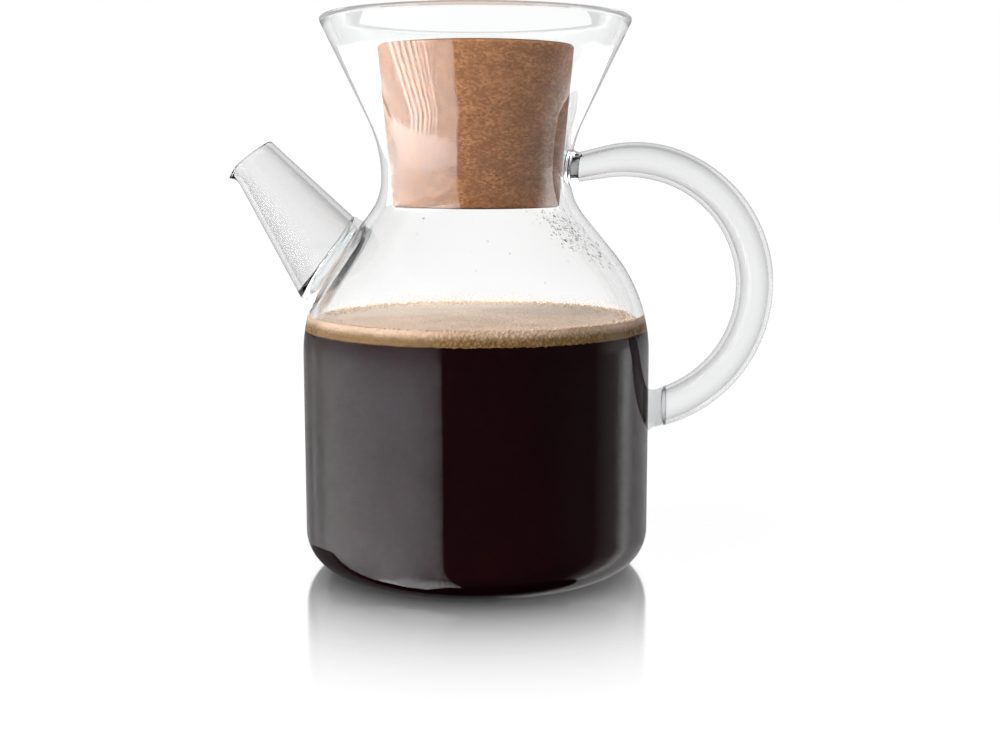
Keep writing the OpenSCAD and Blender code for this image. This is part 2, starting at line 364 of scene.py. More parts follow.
class Nodes:
    """Adds and joins the nodes of one tree, laid out from left to right."""

    def __init__(self, tree):
        self.tree = tree
        self.x = -1400

    def add(self, kind, inputs=None, **settings):
        """A new node, with each input joined or set to a value."""
        node = self.tree.nodes.new("ShaderNode" + kind)
        self.x += 90
        node.location = (self.x, 0)
        for key, value in settings.items():
            setattr(node, key, value)
        for key, value in (inputs or {}).items():
            if isinstance(value, bpy.types.NodeSocket):
                self.tree.links.new(value, node.inputs[key])
            else:
                node.inputs[key].default_value = value
        return node

    def math(self, operation, a, b=0.0):
        """One step of arithmetic."""
        return self.add("Math", {0: a, 1: b}, operation=operation).outputs[0]

    def times(self, value, *others):
        """The product of the values."""
        for other in others:
            value = self.math("MULTIPLY", value, other)
        return value

    def highest(self, value, *others):
        """The highest of the values."""
        for other in others:
            value = self.math("MAXIMUM", value, other)
        return value

    def mix(self, factor, a, b):
        """Mixes two colours, factor of the second."""
        node = self.add("Mix", data_type="RGBA")
        for socket, value in zip((node.inputs[0], node.inputs[6], node.inputs[7]),
                                 (factor, a, b)):
            if isinstance(value, bpy.types.NodeSocket):
                self.tree.links.new(value, socket)
            else:
                socket.default_value = (
                    value if socket == node.inputs[0] else (*value[:3], 1))
        return node.outputs[2]

    def remap(self, value, low, high, start=0.0, end=1.0, **settings):
        """The value moved from low...high to start...end, held at both ends."""
        node = self.add("MapRange", {"Value": value, "From Min": low, "From Max": high,
                                     "To Min": start, "To Max": end}, **settings)
        return node.outputs[0]

    def where(self):
        """The place on the piece, in its Object coordinates."""
        return self.add("TexCoord").outputs["Object"]

    def along(self, axis):
        """One of the coordinates X, Y and Z of that place."""
        return self.add("SeparateXYZ", {"Vector": self.where()}).outputs[axis]

    def noise(self, where, scale, detail, **inputs):
        """Soft noise with the given grains per metre."""
        return self.add("TexNoise", {"Vector": where, "Scale": scale,
                                     "Detail": detail, **inputs}).outputs["Fac"]

    def cells(self, where, scale, feature="F1"):
        """Cells pressed together, with the given number per metre."""
        return self.add("TexVoronoi", {"Vector": where, "Scale": scale},
                        feature=feature).outputs

    def principled(self, colour, rough, specular, **inputs):
        """A Principled BSDF that isn't metal."""
        return self.add("BsdfPrincipled", {
            "Base Color": colour, "Roughness": rough, "Metallic": 0.0,
            "Specular IOR Level": specular, **inputs})

    def level(self, value, stops):
        """A number that follows stops, pairs of a value and its level."""
        low, high = stops[0][0], stops[-1][0]
        colours = [((at - low) / (high - low), [level / TOP_LEVEL] * 3)
                   for at, level in stops]
        colour = self.ramp(self.remap(value, low, high), colours)
        red = self.add("SeparateColor", {"Color": colour}).outputs[0]
        return self.times(red, TOP_LEVEL)

    def blend(self, share, first, second):
        """Mixes two shaders, share of the second."""
        return self.add("MixShader", {0: share, 1: first.outputs[0],
                                      2: second.outputs[0]})

    def surface(self, shader):
        """Ends the tree with the given shader."""
        self.add("OutputMaterial", {"Surface": shader.outputs[0]})

    def ramp(self, factor, stops):
        """A colour that follows stops, pairs of a factor and its colour."""
        node = self.add("ValToRGB", {"Fac": factor})
        elements = node.color_ramp.elements
        while len(elements) < len(stops):
            elements.new(0.5)
        for element, (place, colour) in zip(elements, stops):
            element.position = place
            element.color = (*colour[:3], 1)
        return node.outputs["Color"]


def new_material(name):
    """A material with an empty node tree."""
    material = bpy.data.materials.new(name)
    material.use_nodes = True
    material.node_tree.nodes.clear()
    return material, Nodes(material.node_tree)


def new_group(name, inputs, outputs, kind="NodeSocketFloat"):
    """A node group with number inputs and their defaults, and outputs of a kind."""
    group = bpy.data.node_groups.new(name, "ShaderNodeTree")
    for socket, default in inputs.items():
        made = group.interface.new_socket(socket, in_out="INPUT",
                                          socket_type="NodeSocketFloat")
        made.default_value = default
    for socket in outputs:
        group.interface.new_socket(socket, in_out="OUTPUT", socket_type=kind)
    nodes = Nodes(group)
    entry = group.nodes.new("NodeGroupInput")
    leave = group.nodes.new("NodeGroupOutput")
    return group, nodes, entry.outputs, leave.inputs


def glass_skin_group():
    """Faint waves of hand-blown glass, for every glass piece."""
    name = "glass_skin"
    if name in bpy.data.node_groups:
        return bpy.data.node_groups[name]
    group, n, given, out = new_group(name, {"Wave size": 60.0, "Wave depth": 0.1},
                                     ["Normal"], "NodeSocketVector")
    drawn = n.add("Mapping", {"Vector": n.where(), "Scale": (1, 1, 0.35)}).outputs[0]
    waves = n.noise(drawn, given["Wave size"], 1.0, Roughness=0.4)
    bump = n.add("Bump", {"Height": waves, "Strength": given["Wave depth"],
                          "Distance": MM}).outputs["Normal"]
    group.links.new(bump, out["Normal"])
    return group


def glass_material(name, colour, ior, waves, outline, gloss, straight_through=0.0,
                   rim_z=1.0, unmirrored=0.0):
    """Clear glass with a faint hand-blown skin, which lets lamps through.

    waves is the waves' number per metre and their depth. outline says how much
    darker it gets where it is seen lengthwise, and how close to its outline: mostly
    painted shade for the dark surroundings that its edges show, partly the longer
    path through the glass. gloss says how much its outside mirrors, as in
    VESSEL_GLOSS. The share straight_through isn't bent, and above rim_z more of it,
    which paints the rim lighter. The share unmirrored is missing from what other
    glass mirrors."""
    material, n = new_material(name)
    edge, power = outline
    # Painted shade: the colour darkens towards the outline, for the dark surroundings seen
    # through the edges
    front = n.math("SUBTRACT", 1.0, n.add("NewGeometry").outputs["Backfacing"])
    painted_outline_shade = n.add("LayerWeight", {"Blend": 0.5}).outputs["Facing"]
    painted_outline_shade = n.times(n.math("POWER", painted_outline_shade, power), front)
    colour = n.mix(painted_outline_shade, colour, [c * (1 - edge) for c in colour])
    skin = n.add("Group")
    skin.node_tree = glass_skin_group()
    for socket, value in zip(("Wave size", "Wave depth"), waves):
        skin.inputs[socket].default_value = value
    shape = {"IOR": ior, "Normal": skin.outputs["Normal"]}
    bare = n.principled(colour, 0.0, 0.5, **{"Transmission Weight": 1.0, **shape})
    root = n.add("Gamma", {"Color": colour, "Gamma": 0.5}).outputs[0]
    bent = n.add("BsdfRefraction", {"Color": root, "Roughness": 0.0, **shape})
    high = n.along("Z")
    # For the vessel, low gloss in bands by height is painted shade on what it mirrors
    dull = n.math("SUBTRACT", 1.0, n.level(high, gloss))
    body = n.blend(n.times(dull, front), bare, bent)
    # Painted light: near the rim more light goes straight through, so the rim looks lighter
    rim = n.remap(high, rim_z, rim_z + MM, straight_through, 0.65)
    path = n.add("LightPath").outputs
    unbent = n.math("LESS_THAN", path["Transmission Depth"], 0.5)
    other = n.times(path["Is Singular Ray"], unbent, path["Is Glossy Ray"])
    through = n.highest(path["Is Shadow Ray"], n.times(other, unmirrored), rim)
    lamps = n.add("BsdfTransparent", {"Color": (0.96, 0.97, 0.97, 1)})
    n.surface(n.blend(through, body, lamps))
    return material


def even(level):
    """The same gloss at every height."""
    return [(0.0, level), (0.2, level)]


def granules_group():
    """Pressed granules: colour number, joint darkness and height."""
    group, n, given, out = new_group("cork_granules", {"Granules per metre": 1000.0},
                                     ["Hue", "Joint", "Height"])
    where = n.add("Mapping", {"Vector": n.where(), "Scale": (1, 1, 1.7)}).outputs[0]
    bend = n.add("TexNoise", {"Vector": where, "Scale": 900.0, "Detail": 2.0})
    bend = n.add("VectorMath", {0: bend.outputs["Color"], 1: (0.5, 0.5, 0.5)},
                 operation="SUBTRACT").outputs[0]
    bend = n.add("VectorMath", {0: bend, "Scale": 0.0012}, operation="SCALE").outputs[0]
    bent = n.add("VectorMath", {0: where, 1: bend}, operation="ADD").outputs[0]
    cells = n.cells(bent, given["Granules per metre"])
    edges = n.cells(bent, given["Granules per metre"], "DISTANCE_TO_EDGE")
    hue = n.add("SeparateColor", {"Color": cells["Color"]}).outputs[0]
    joint = n.remap(edges["Distance"], 0.0, 0.09, 1.0, 0.0)
    fine = n.noise(where, 1500.0, 2.0)
    height = n.math("SUBTRACT", n.times(fine, 0.6), n.times(joint, 0.9))
    group.links.new(hue, out["Hue"])
    group.links.new(joint, out["Joint"])
    group.links.new(height, out["Height"])
    return group


def cork_material(sizes, low_z, top_z, shaded_edge_r):
    """Fine pressed cork with dark bark specks, and painted shade on the edges of its ends.
    """
    material, n = new_material("pressed_cork")
    grains = n.add("Group")
    grains.node_tree = granules_group()
    where = n.where()
    base = n.ramp(grains.outputs["Hue"], [
        (0.0, sizes.middle), (0.35, sizes.middle), (0.62, sizes.pale),
        (1.0, [0.5 * (a + b) for a, b in zip(sizes.pale, sizes.middle)])])
    flat = n.add("Mapping", {"Vector": where, "Scale": (1, 1, 1.8)}).outputs[0]
    patch = n.remap(n.noise(flat, 160.0, 6.0, Roughness=0.65), 0.4, 0.62, 0.0, 0.6)
    base = n.mix(patch, base, [0.68 * c for c in sizes.middle])
    specks = n.cells(flat, 420.0)
    near = n.remap(specks["Distance"], 0.1, 0.3, 0.8, 0.0)
    rare = n.add("SeparateColor", {"Color": specks["Color"]}).outputs[1]
    base = n.mix(n.times(near, n.remap(rare, 0.7, 1.0)), base, sizes.dark)
    base = n.mix(n.times(grains.outputs["Joint"], 0.35), base,
                 [0.5 * c for c in sizes.middle])
    # Painted shade: near both ends, out past the edge radius, the cork darkens towards the
    # dark specks' colour
    half_h = (top_z - low_z) / 2
    end = n.math("ABSOLUTE", n.math("SUBTRACT", n.along("Z"), low_z + half_h))
    end = n.remap(end, half_h - 0.6 * MM, half_h - 0.3 * MM)
    flat_place = n.add("VectorMath", {0: where, 1: (1, 1, 0)}, operation="MULTIPLY")
    far = n.add("VectorMath", {0: flat_place.outputs[0]}, operation="LENGTH")
    far = n.math("GREATER_THAN", far.outputs["Value"], shaded_edge_r)
    base = n.mix(n.times(end, far, 0.8), base, [0.3 * c for c in sizes.dark])
    bump = n.add("Bump", {"Height": grains.outputs["Height"], "Strength": 0.45,
                          "Distance": 0.3 * MM})
    n.surface(n.principled(base, 0.82, 0.08, Normal=bump.outputs["Normal"]))
    return material


def coffee_material(sizes):
    """Brewed coffee, nearly black, redder in soft clouds."""
    material, n = new_material("brewed_coffee")
    cloud = n.remap(n.noise(n.where(), 14.0, 2.0), 0.4, 0.65, 0.0, 0.6)
    colour = n.mix(cloud, sizes.brew, sizes.brew_red)
    rough = n.remap(cloud, 0.0, 1.0, 0.05, 0.12)
    n.surface(n.principled(colour, rough, 0.05, IOR=WATER_IOR))
    return material


def bubble_field_group():
    """Bubbles pressed together: their number, skin and height."""
    group, n, given, out = new_group("bubble_field", {"Bubbles per metre": 900.0},
                                     ["Tone", "Skin", "Height"])
    where = n.where()
    cells = n.cells(where, given["Bubbles per metre"])
    fine = n.cells(where, n.times(given["Bubbles per metre"], 2.3))
    tone = n.add("SeparateColor", {"Color": cells["Color"]}).outputs[0]
    height = n.math("SUBTRACT", n.times(fine["Distance"], -0.4), cells["Distance"])
    group.links.new(tone, out["Tone"])
    group.links.new(n.remap(cells["Distance"], 0.3, 0.62), out["Skin"])
    group.links.new(height, out["Height"])
    return group


def foam_material(name, sizes, field, per_metre, pale_above, depth):
    """Coffee foam, wet and bubbly at the glass and paler on its top, with painted light at
    the back of its top, which is lighter there and glows.
    """
    material, n = new_material(name)
    bubbles = n.add("Group")
    bubbles.node_tree = field
    bubbles.inputs["Bubbles per metre"].default_value = per_metre
    dry = n.remap(n.along("Z"), sizes.level + 1.2 * MM, pale_above,
                  interpolation_type="SMOOTHSTEP")
    cloud = n.remap(n.noise(n.where(), 55.0, 3.0), 0.35, 0.7)
    base = n.mix(dry, sizes.cream, sizes.cream_pale)
    base = n.mix(n.times(cloud, 0.35), base, sizes.cream)
    base = n.mix(n.times(bubbles.outputs["Tone"], 0.15), base, sizes.cream_pale)
    # Painted light: towards the back, the dry top turns to the film's colour and glows with
    # it
    back = n.times(n.remap(n.along("Y"), -20 * MM, 45 * MM), dry)
    base = n.mix(n.times(back, 0.7), base, sizes.film)
    glow = n.mix(back, (0.0, 0.0, 0.0), sizes.film)
    wet = n.math("SUBTRACT", 0.75, n.times(dry, 0.55))
    base = n.mix(n.times(bubbles.outputs["Skin"], wet), base, sizes.cream_dark)
    bump = n.add("Bump", {"Height": bubbles.outputs["Height"], "Strength": 0.6,
                          "Distance": depth})
    rough = n.remap(bubbles.outputs["Skin"], 0.0, 1.0, 0.3, 0.5)
    n.surface(n.principled(base, rough, 0.15, **{
        "Subsurface Weight": 0.15, "Subsurface Scale": 1.0,
        "Subsurface Radius": (0.002, 0.0012, 0.0008),
        "Emission Color": glow, "Emission Strength": 0.14,
        "Normal": bump.outputs["Normal"]}))
    return material


def film_material(sizes):
    """Thin pale film of dry bubbles above the foam, with painted light: it glows in its own
    colour.
    """
    material, n = new_material("foam_film")
    base = n.mix(n.noise(n.where(), 300.0, 2.0), sizes.cream_pale, sizes.film)
    # Painted light: the film glows, though it is no lamp
    body = n.principled(base, 0.35, 0.3, **{
        "Subsurface Weight": 0.3, "Subsurface Scale": 1.0,
        "Subsurface Radius": (0.002, 0.0015, 0.001),
        "Emission Color": (*sizes.film, 1), "Emission Strength": 0.5})
    gaps = n.add("BsdfTransparent", {"Color": WHITE})
    top_z = sizes.level + sizes.foam_h
    n.surface(n.blend(n.remap(n.along("Z"), top_z, top_z + 3 * MM, 0.4, 0.92),
                      body, gaps))
    return material


# The glass pieces


def spout_frame(sizes):
    """Turns +Z along the spout, with the origin in the mouth's centre."""
    return (Matrix.Translation((-sizes.mouth_x, 0, sizes.mouth_z))
            @ Matrix.Rotation(sizes.rise - RIGHT, 4, "Y"))


def spout_draw(sizes):
    """How much wider the spout gets along its length."""
    return (sizes.foot_r - sizes.mouth_r) / sizes.run


class BuildVessel(bpy.types.Operator):
    """Blown vessel: foot, body, shoulder, neck, funnel and the spout's hole"""
    bl_idname = "coffee_maker.vessel"
    bl_label = "Vessel"

    def execute(self, context):
        v, s = context.scene.maker_vessel, context.scene.maker_spout
        profile = Profile(v)
        step = 1.6 * MM
        rim = arc(*profile.rim, profile.rim_r, -v.funnel_angle,
                  math.pi - v.funnel_angle, 0.35 * MM)[1:-1]
        outline = straight((0, 0), (v.body_r - v.foot_r, 0), 12 * MM)[:-1]
        outline = [(0, 0)] + outline + profile.side(0, step) + rim
        outline += profile.side(v.wall, step)[::-1]
        outline += straight((v.body_r - v.foot_r, v.wall), (0, v.wall), 12 * MM)
        bm = lathe(outline, 192)
        glass = glass_material("clear_glass", v.clear, GLASS_IOR, (60.0, 0.004),
                               (0.55, 2.7), VESSEL_GLOSS, rim_z=v.total_h - 1.8 * MM)
        body = finish_piece(bm, "vessel_glass", "glass", ["vessel"], glass)
        draw = spout_draw(s)
        bore = s.mouth_r - s.wall - s.hole_inset
        # The hole is cut by a cone, which leaves a ledge inside the spout's bore
        near, far = 0.5 * s.run, 1.5 * s.run
        cutter = lathe([(0, -far), (bore + draw * far, -far), (bore + draw * near, -near),
                        (0, -near)], 96)
        bmesh.ops.transform(cutter, matrix=spout_frame(s), verts=cutter.verts[:])
        tool = new_object("spout_hole", cutter)
        cut = body.modifiers.new("spout_hole", "BOOLEAN")
        cut.operation, cut.solver, cut.object = "DIFFERENCE", "EXACT", tool
        ready = body.evaluated_get(context.evaluated_depsgraph_get())
        holed = bpy.data.meshes.new_from_object(ready)
        body.modifiers.clear()
        body.data = holed
        holed.set_sharp_from_angle(angle=math.radians(SHARP))
        bpy.data.objects.remove(tool)
        return {"FINISHED"}


class BuildSpout(bpy.types.Operator):
    """Conical spout with a round lip and drawn beak, and its weld ring"""
    bl_idname = "coffee_maker.spout"
    bl_label = "Spout"

    def execute(self, context):
        v, s = context.scene.maker_vessel, context.scene.maker_spout
        profile, place, draw = Profile(v), spout_frame(s), spout_draw(s)
        lip_r = s.wall / 2
        # Above this length the spout isn't stretched to meet the vessel
        fixed_run = 8 * MM
        reach = (5 * MM, s.run + 25 * MM)

        def at(turn, radius, run):
            """Point round the spout's axis, run down from its mouth."""
            return place @ Vector((radius * math.cos(turn), radius * math.sin(turn),
                                   -run))

        outer = straight((s.mouth_r, -lip_r), (s.foot_r, -s.run), 1.5 * MM)
        lip = arc(s.mouth_r - lip_r, -lip_r, lip_r, 0, math.pi, 0.3 * MM)
        inner = straight((s.foot_r - s.wall, -s.run), (s.mouth_r - s.wall, -lip_r),
                         1.5 * MM)
        outline = lip[::-1] + outer + [(s.foot_r - s.wall, -s.run)] + inner[:-1]
        bm = lathe(outline, 144, closed=True)
        ends = {}
        beak_turn = 0.75 * s.beak_w / s.mouth_r
        for vert in bm.verts:
            turn, radius = math.atan2(vert.co.y, vert.co.x), vert.co.xy.length
            run = -vert.co.z
            is_outer = radius > s.mouth_r - lip_r + draw * run
            key = (round(turn, 4), is_outer)
            if key not in ends:
                base = s.mouth_r if is_outer else s.mouth_r - s.wall
                ends[key] = profile.settle(at, turn, lambda t, b=base: b + draw * t,
                                           s.weld_h - SEAM, *reach)
            share_down = (run - fixed_run) / (s.run - fixed_run)
            longer = (ends[key] - s.run) * smooth(share_down)
            radius += draw * longer
            run += longer
            off = abs(abs(turn) - math.pi) / beak_turn
            pull = (math.cos(min(1.0, off) * RIGHT) ** 2
                    * max(0.0, 1 - max(0.0, run) / s.beak_run) ** 2)
            vert.co = at(turn, radius + s.beak_out * pull, run + s.beak_drop * pull)
        bmesh.ops.recalc_face_normals(bm, faces=bm.faces[:])
        glass = glass_material("spout_glass", s.tint, GLASS_IOR, (110.0, 0.001),
                               (0.85, 1.4), even(0.15), unmirrored=1.0)
        finish_piece(bm, "spout_glass", "glass", ["spout"], glass, 60)

        # The weld: its outside is the ring at radius 2, its inside the one at 1
        rows, inner_rows = 22, 6
        top = s.weld_h + SEAM
        sink = 0.2 * MM
        ring = [(2, i / rows) for i in range(rows + 1)]
        ring += [(1, 1 - i / inner_rows) for i in range(inner_rows + 1)]
        bm = lathe(ring, 144, closed=True)

        def bulge(depth):
            """How far the weld stands out, with a round top and a flared foot."""
            crown = max(0.0, (depth - 0.6 * top) / (0.4 * top))
            fillet = max(0.0, 1 - max(0.0, depth) / (0.45 * top))
            return ((s.weld_out + sink) * math.sqrt(max(0.0, 1 - crown ** 2))
                    - sink + 0.9 * MM * fillet ** 2)

        for vert in bm.verts:
            turn = math.atan2(vert.co.y, vert.co.x)
            depth = -ROOT + (top + ROOT) * vert.co.z
            extra = bulge(depth) if vert.co.xy.length > 1.5 else -s.wall
            wave = noise.noise(Vector((math.cos(turn), math.sin(turn), 7.0)) * 2.3)
            extra += 0.12 * MM * wave
            run = profile.settle(at, turn, lambda t, e=extra: s.mouth_r + e + draw * t,
                                 depth, *reach)
            vert.co = at(turn, s.mouth_r + extra + draw * run, run)
        bmesh.ops.recalc_face_normals(bm, faces=bm.faces[:])
        glass = glass_material("weld_glass", v.weld, 1.22, (200.0, 0.03), (0.4, 2.0),
                               even(0.1), straight_through=0.6, unmirrored=1.0)
        finish_piece(bm, "spout_weld_glass", "glass", ["spout_weld"],
                     glass, 60)
        return {"FINISHED"}


class BuildHandle(bpy.types.Operator):
    """Bent glass tube with its welds at the neck and at the body"""
    bl_idname = "coffee_maker.handle"
    bl_label = "Handle"

    def execute(self, context):
        v, h = context.scene.maker_vessel, context.scene.maker_handle
        profile = Profile(v)
        centre_x = h.reach - h.tube_r - h.bend_r
        start = -math.acos((v.body_r - v.wall - centre_x) / h.bend_r)
        top = RIGHT + h.lean
        arc_run = (top - start) * h.bend_r
        end_run = arc_run + 16 * MM

        def at(turn, radius, run):
            """Point round the handle's centre line, run up from the body."""
            bend = start + min(run, arc_run) / h.bend_r
            out = Vector((math.cos(bend), 0, math.sin(bend)))
            on = Vector((-math.sin(bend), 0, math.cos(bend))) * max(0.0, run - arc_run)
            point = (Vector((centre_x, 0, h.mid_z))
                     + out * (h.bend_r + radius * math.cos(turn)) + on)
            return point + Vector((0, radius * math.sin(turn), 0))

        middle_run = -start * h.bend_r
        upper_run = (RIGHT * 0.8 - start) * h.bend_r

        def tube_r(run):
            """The tube's radius, widest in the middle and drawn thin at the neck."""
            if run < middle_run:
                return h.low_r + (h.tube_r - h.low_r) * smooth(run / middle_run)
            rise = smooth((run - middle_run) / (upper_run - middle_run))
            draw = smooth((run - upper_run) / (end_run - upper_run))
            return (h.tube_r + (h.top_r - h.tube_r) * rise
                    + (h.tip_r - h.top_r) * draw ** 1.15)

        low_side = (0.0, middle_run)
        high_side = (arc_run - 10 * MM, end_run)
        # The tube: its outside is the ring at radius 2, its inside the one at 1
        rows = 130
        ring = [(2, i / rows) for i in range(rows + 1)]
        ring += [(1, 1 - i / rows) for i in range(rows + 1)]
        bm = lathe(ring, 72, closed=True)
        ends = {}
        for vert in bm.verts:
            turn = math.atan2(vert.co.y, vert.co.x)
            less = 0.0 if vert.co.xy.length > 1.5 else h.wall
            key = (round(turn, 4), less)
            if key not in ends:
                radius = lambda t, w=less: tube_r(t) - w
                ends[key] = [
                    profile.settle(at, turn, radius, weld_h - SEAM, *side)
                    for weld_h, side in ((h.plug_h, low_side),
                                         (h.neck_weld_h, high_side))]
            low, high = ends[key]
            run = low + (high - low) * vert.co.z
            vert.co = at(turn, tube_r(run) - less, run)
        bmesh.ops.recalc_face_normals(bm, faces=bm.faces[:])
        glass = glass_material("handle_glass", h.tint, GLASS_IOR, (90.0, 0.004),
                               (0.8, 1.2), even(0.25))
        finish_piece(bm, "handle_glass", "glass", ["handle_tube"], glass,
                     60)
        collar = glass_material("collar_glass", h.collar, 1.3, (260.0, 0.1), (0.7, 2.0),
                                even(0.2))

        # Each weld is a solid plug of glass with a flared foot on the vessel
        rows, rings = 16, 8
        shape = [(i / rings, 0) for i in range(rings + 1)]
        shape += [(1, i / rows) for i in range(1, rows + 1)]
        shape += [(1 - i / rings, 1) for i in range(1, rings + 1)]
        welds = (
            ("handle_neck_weld_glass", "handle_upper_weld", h.neck_weld_h,
             h.neck_weld_h, h.neck_weld_out, high_side, collar),
            ("handle_body_weld_glass", "handle_lower_weld", h.plug_h,
             h.body_weld_h, h.body_weld_out, low_side,
             bpy.data.materials["weld_glass"]))
        for name, node, weld_h, flare_h, flare_out, side, glass in welds:
            bm = lathe(shape, 72)
            for vert in bm.verts:
                turn, part = math.atan2(vert.co.y, vert.co.x), vert.co.xy.length
                depth = -ROOT + (weld_h + SEAM + ROOT) * vert.co.z
                flare = flare_out * max(0.0, 1 - max(0.0, depth) / flare_h) ** 1.6
                radius = lambda t, f=flare, p=part: p * (tube_r(t) + f)
                run = profile.settle(at, turn, radius, depth, *side)
                vert.co = at(turn, radius(run), run)
            bmesh.ops.recalc_face_normals(bm, faces=bm.faces[:])
            finish_piece(bm, name, "glass", [node], glass, 60)
        return {"FINISHED"}


# Stopper and filling


class BuildStopper(bpy.types.Operator):
    """Tapered stopper of pressed cork with softly broken edges"""
    bl_idname = "coffee_maker.stopper"
    bl_label = "Cork stopper"

    def execute(self, context):
        v, c = context.scene.maker_vessel, context.scene.maker_stopper
        seat_r = (v.neck_r + v.funnel_bend_r
                  - (v.funnel_bend_r + v.wall + c.clear) / math.cos(c.taper))
        low_z, top_z = v.neck_h - c.drop, v.total_h - c.sink
        low_r = seat_r - c.drop * math.tan(c.taper)
        top_r = low_r + (top_z - low_z) * math.tan(c.taper)
        edge = c.chamfer * math.tan(c.taper)
        outline = [(0, low_z)] + straight((0, low_z), (low_r - c.chamfer, low_z), 3 * MM)
        outline += straight(outline[-1], (low_r + edge, low_z + c.chamfer), 0.3 * MM)
        outline += straight(outline[-1], (top_r - edge, top_z - c.chamfer), 0.9 * MM)
        outline += straight(outline[-1], (top_r - c.chamfer, top_z), 0.3 * MM)
        outline += straight(outline[-1], (0, top_z), 3 * MM)
        bm = lathe(outline, 224)
        # The side is a little uneven, and the ends are flat up to their edge
        flat_r, dent_depth = 0.93 * low_r, 0.07
        for vert in bm.verts:
            p = vert.co / MM
            dent = noise.noise(p * 0.9) * 0.5 + noise.noise(p * 0.35 + Vector((9, 2, 4)))
            inward = Vector((-vert.co.x, -vert.co.y, 0)) / max(vert.co.xy.length, MM)
            if vert.co.xy.length > flat_r:
                vert.co += inward * dent_depth * MM * max(0.0, dent)
        finish_piece(bm, "cork", "stopper", ["cork_stopper"],
                     cork_material(c, low_z, top_z, low_r - 1.5 * c.chamfer), 50)
        return {"FINISHED"}


class BuildCoffee(bpy.types.Operator):
    """Brewed coffee that fills the body up to its level"""
    bl_idname = "coffee_maker.coffee"
    bl_label = "Coffee"

    def execute(self, context):
        v, f = context.scene.maker_vessel, context.scene.maker_filling
        profile = Profile(v)
        depth = v.wall - f.wetting
        side = [p for p in profile.side(depth, 1.6 * MM) if p[1] < f.level - 0.4 * MM]
        edge = (profile.inner_r(f.level, depth), f.level)
        outline = [(0, depth)] + straight((0, depth), side[0], 12 * MM)[:-1] + side
        outline += [edge] + straight(edge, (0, f.level), 6 * MM)
        bm = lathe(outline, 192)
        finish_piece(bm, "coffee_brew", "glass", ["coffee"],
                     coffee_material(f))
        return {"FINISHED"}


# How many bubbles lie on the foam and in its film, and how many drops above them
BUBBLES = 2400
FILM_BUBBLES = 1500
DROPS = 380


class BuildFoam(bpy.types.Operator):
    """Foam on the coffee, with bubbles along the glass and on its top"""
    bl_idname = "coffee_maker.foam"
    bl_label = "Foam"

    def execute(self, context):
        v, f = context.scene.maker_vessel, context.scene.maker_filling
        profile = Profile(v)
        depth = v.wall - f.wetting - 0.04 * MM
        top_z, low_z = f.level + f.foam_h, f.level - 0.3 * MM
        rows, rings = 12, 46
        wall = [low_z + (f.foam_h + 0.1 * MM) * i / rows for i in range(rows + 1)]
        outline = [(profile.inner_r(z, depth), z) for z in wall]
        out_r = outline[-1][0]
        outline = ([(0, low_z)]
                   + straight((0, low_z), outline[0], 6 * MM)[:-1] + outline)
        for i in range(1, rings + 1):
            r = out_r * (1 - i / rings)
            climb = max(0.0, 1 - (out_r - r) / f.foam_edge) ** 2
            outline.append((r, top_z - f.foam_dip + (f.foam_dip - 0.2 * MM) * climb))
        bm = lathe(outline, 360)
        for vert in bm.verts:
            p = vert.co / MM
            ripple = noise.noise(p * 0.22) + 0.5 * noise.noise(p * 0.8)
            if vert.co.z > top_z - 1.2 * f.foam_dip:
                vert.co.z += 0.22 * MM * ripple
            elif vert.co.z < f.level and vert.co.xy.length > 0.9 * out_r:
                vert.co.z += 0.45 * MM * noise.noise(p * 0.9)
        field = bubble_field_group()
        foam = foam_material("coffee_foam", f, field, 950.0, top_z - 0.9 * MM, 0.6 * MM)
        finish_piece(bm, "foam_layer", "glass", ["coffee_foam"], foam, 70)

        # Bubbles: half of them larger and against the glass, half on the foam's top
        rng = random.Random(41)
        places = []
        for _ in range(BUBBLES):
            turn = rng.uniform(0, TURN)
            if rng.random() < 0.5:
                r = rng.uniform(0.18, 0.5) * MM
                z = f.level + rng.betavariate(1.0, 2.6) * f.foam_h - 0.45 * MM
                reach = profile.inner_r(z, v.wall) - 0.55 * r
            else:
                back = rng.random() ** 2 * 7 * MM
                r = (rng.uniform(0.15, 0.3) + 0.3 * min(1, back / MM) * rng.random()) * MM
                reach = profile.inner_r(top_z, v.wall) - 0.6 * r - back
                climb = max(0.0, 1 - back / f.foam_edge) ** 2
                z = top_z - f.foam_dip * (1 - climb) + 0.1 * r
            places.append(ball(turn, reach, z, r))
        foam = foam_material("foam_bubbles", f, field, 2400.0, top_z + 0.3 * MM, 0.1 * MM)
        finish_piece(scatter(places), "foam_bubbles", "glass", [], foam, 80)

        # Film: tiny bubbles that climb the glass behind the foam
        places = []
        for _ in range(FILM_BUBBLES):
            turn = math.radians(rng.triangular(-15, 195, 90))
            r = rng.uniform(0.12, 0.32) * MM
            z = top_z + rng.random() ** 2.2 * 3.6 * MM - 0.3 * MM
            reach = profile.inner_r(z, v.wall) - 0.5 * r
            places.append(ball(turn, reach, z, r))
        finish_piece(scatter(places), "foam_film", "glass", [],
                     film_material(f), 80)
        return {"FINISHED"}


